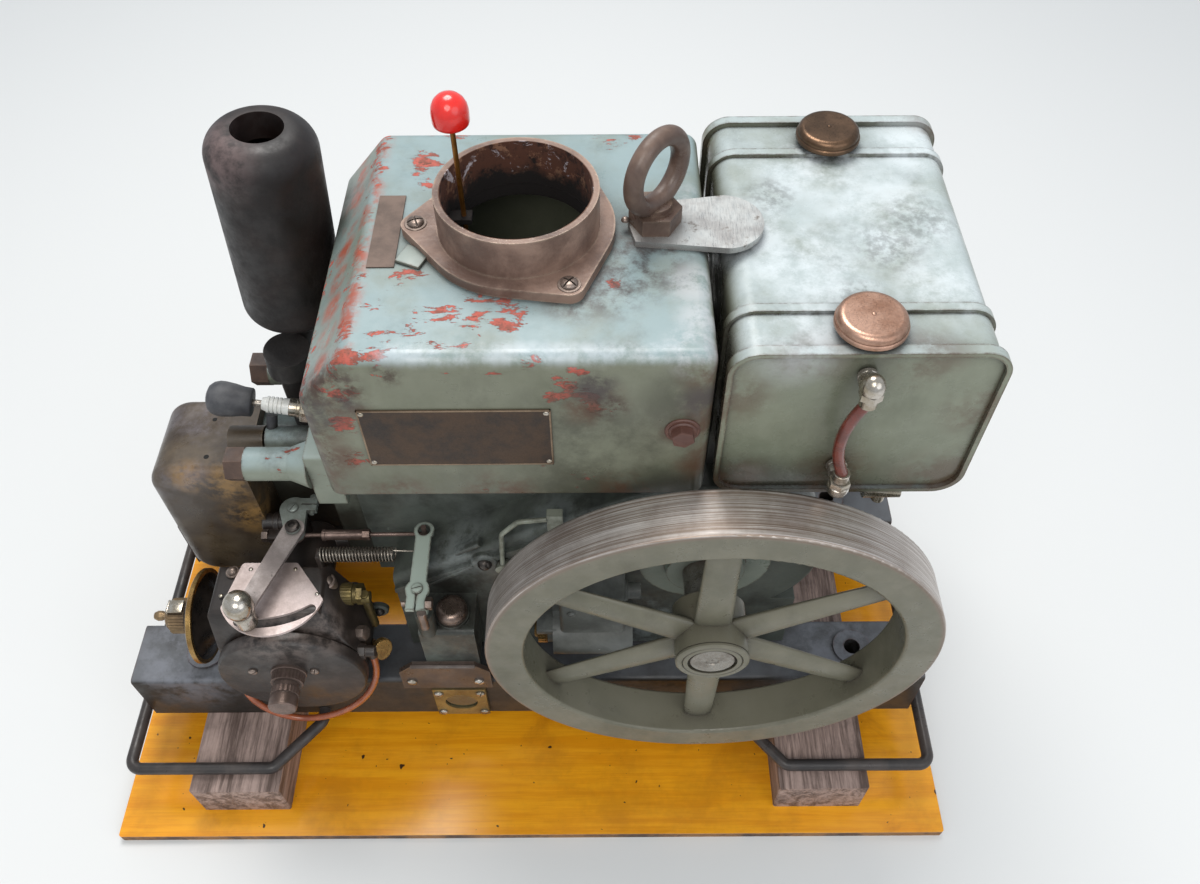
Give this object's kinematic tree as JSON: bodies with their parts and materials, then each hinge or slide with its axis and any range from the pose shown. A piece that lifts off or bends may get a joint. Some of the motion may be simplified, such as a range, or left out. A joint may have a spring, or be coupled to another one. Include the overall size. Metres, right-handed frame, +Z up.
{
  "type": "stationary engine",
  "caption": "Horizontal hopper-cooled farm engine with flywheels, fuel tank and muffler on a base frame, sleepers and board.",
  "frame": {"origin": "middle of the carrying board's underside", "axes": "+X from the cylinder head to the crank, +Y along the crankshaft away from the governor side, +Z up"},
  "size_m": [0.896, 0.509, 0.755],
  "materials": {
    "wood_board": "yellow form plywood",
    "timber": "weathered timber",
    "dark_iron": "oily dark paint on cast iron",
    "green_paint": "worn grey-green paint",
    "rusty_iron": "rust-brown cast iron",
    "bright_steel": "worn bright steel",
    "wheel_paint": "worn green paint, bare rim",
    "brass": "dull brass",
    "copper": "browned copper",
    "black_rubber": "grey-black rubber",
    "white_ceramic": "glazed ceramic",
    "red_ball": "red paint",
    "lens": "oil sight glass",
    "red_tube": "red-brown fuel tube",
    "orange_hose": "orange fuel hose",
    "magneto_alloy": "dull cast alloy",
    "blank_plate": "blank browned plate"
  },
  "bodies": {
    "engine": {"air_horn": "black_rubber", "base_frame": "dark_iron", "bearing_housing_far": "green_paint", "bearing_housing_near": "green_paint", "bowl_nut": "bright_steel", "carburettor_body": "dark_iron", "choke_knob": "brass", "crankcase": "dark_iron", "cylinder_head": "green_paint", "exhaust_elbow": "rusty_iron", "eye_bolt": "rusty_iron", "fuel_cock": "brass", "fuel_filter": "brass", "fuel_hose": "orange_hose", "gauge_fittings": "brass", "gauge_tube": "red_tube", "governor_housing": "dark_iron", "governor_spring": "bright_steel", "handle_left": "dark_iron", "handle_right": "dark_iron", "head_nuts": "rusty_iron", "hopper": "green_paint", "hopper_collar": "rusty_iron", "hopper_plug": "rusty_iron", "inspection_plate": "rusty_iron", "instruction_plate": "blank_plate", "magneto_body": "magneto_alloy", "magneto_cover": "magneto_alloy", "muffler": "rusty_iron", "name_plate": "blank_plate", "oil_filler_plug": "rusty_iron", "oil_pipe": "green_paint", "oil_sight_flange": "brass", "oil_sight_lens": "lens", "plug_cap": "black_rubber", "plywood_board": "wood_board", "quadrant_plate": "bright_steel", "side_knob": "brass", "sleeper_left": "timber", "sleeper_right": "timber", "spark_plug": "white_ceramic", "tank_bracket": "dark_iron", "tank_cap_far": "copper", "tank_cap_near": "copper", "tank_end_far": "green_paint", "tank_end_near": "green_paint", "tank_shell": "green_paint", "tank_strap": "bright_steel", "valve_cover": "rusty_iron"},
    "crank": {"crankshaft": "bright_steel", "flywheel_near": "wheel_paint", "flywheel_far": "wheel_paint", "belt_pulley": "bright_steel"},
    "throttle_arm": {"throttle_arm": "bright_steel"},
    "speed_lever": {"speed_lever": "bright_steel"},
    "link_rod": {"link_rod": "bright_steel"},
    "governor_lever": {"governor_lever": "green_paint"},
    "float_gauge": {"float_gauge": "red_ball"}
  },
  "joints": [
    {"name": "crank_turn", "type": "hinge", "parent": "engine", "child": "crank", "pos_m": [0.175, 0, 0.319], "axis": [0, 1, 0], "continuous": true},
    {"name": "throttle_turn", "type": "hinge", "parent": "engine", "child": "throttle_arm", "pos_m": [-0.219, -0.038, 0.329], "axis": [0, 0, 1], "range_deg": [0, 58]},
    {"name": "lever_turn", "type": "hinge", "parent": "throttle_arm", "child": "speed_lever", "pos_m": [-0.2135, -0.0635, 0.334], "axis": [0, 0, 1], "range_deg": [-38, 0]},
    {"name": "rod_turn", "type": "hinge", "parent": "throttle_arm", "child": "link_rod", "pos_m": [-0.2135, -0.0635, 0.324], "axis": [0, 0, 1], "range_deg": [-68, 0]},
    {"name": "governor_turn", "type": "hinge", "parent": "engine", "child": "governor_lever", "pos_m": [-0.0905, -0.1265, 0.328], "axis": [0, 0, 1], "range_deg": [-19, 0]},
    {"name": "gauge_slide", "type": "slide", "parent": "engine", "child": "float_gauge", "axis": [0, 0, 1], "range_m": [0, 0.03]}
  ],
  "couplings": [
    {"joint": "lever_turn", "follows": "throttle_turn", "ratio": -0.65},
    {"joint": "rod_turn", "follows": "throttle_turn", "ratio": -1.143},
    {"joint": "governor_turn", "follows": "throttle_turn", "ratio": -0.305}
  ]
}
